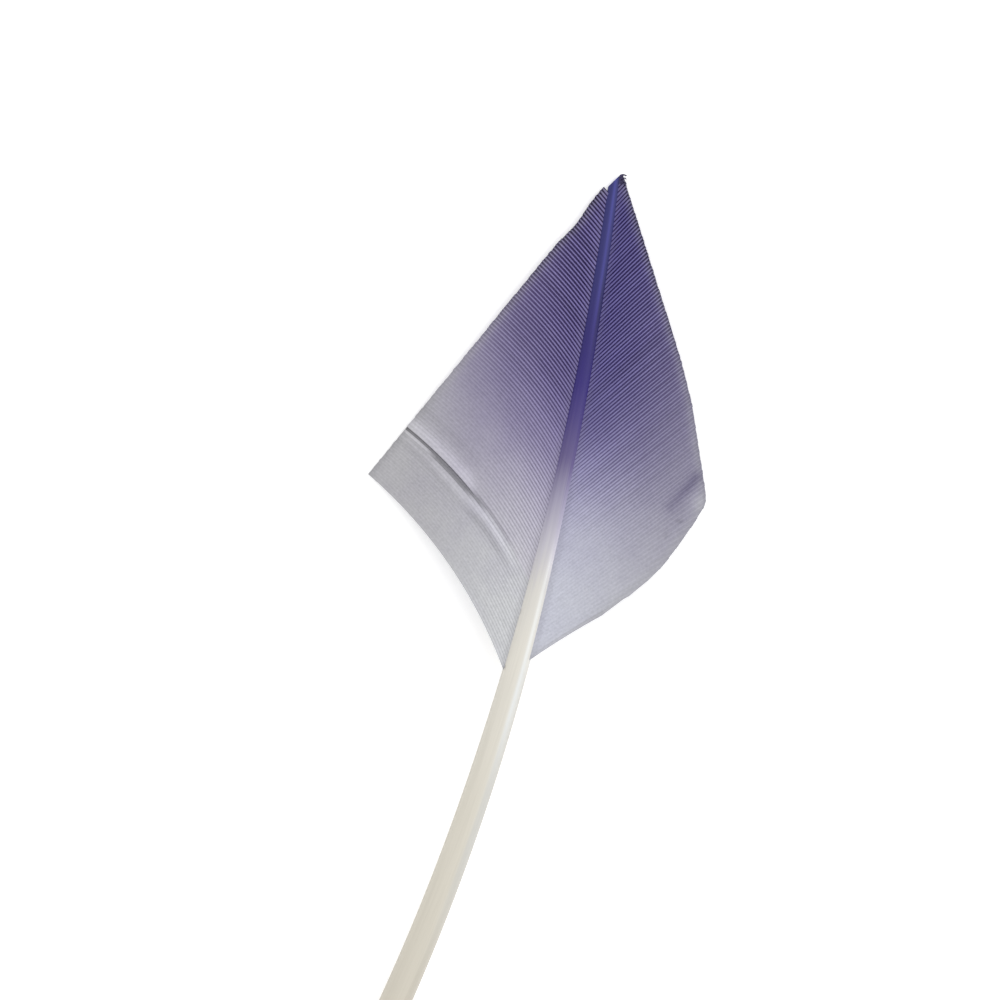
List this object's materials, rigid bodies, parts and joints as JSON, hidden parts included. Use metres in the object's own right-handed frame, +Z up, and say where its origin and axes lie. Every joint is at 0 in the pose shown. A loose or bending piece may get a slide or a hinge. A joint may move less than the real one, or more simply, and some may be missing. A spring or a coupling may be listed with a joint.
{
  "type": "turkey quill feather",
  "caption": "Dyed wing quill feather lying flat: a long bare curved shaft with a short trimmed arrowhead vane, indigo at the tip and fading to pale grey at its foot.",
  "frame": {"origin": "under the middle of the feather's bounding box, on the surface that the feather lies on", "axes": "+Y from the quill's end to the feather's tip, +Z up out of the feather's upper face, +X towards the narrow vane"},
  "size_m": [0.0578, 0.2846, 0.0092],
  "materials": {
    "quill_keratin": "satin horn, cream below the vane and dyed indigo towards the tip",
    "dyed_barbs": "silky barbs, dyed indigo at the tip and fading to lilac grey",
    "pale_barbs": "silky undyed pale grey barbs"
  },
  "bodies": {
    "root": {"quill_shaft": "quill_keratin", "broad_vane_upper": "dyed_barbs", "broad_vane_lower": "pale_barbs", "narrow_vane": "dyed_barbs"}
  },
  "joints": []
}
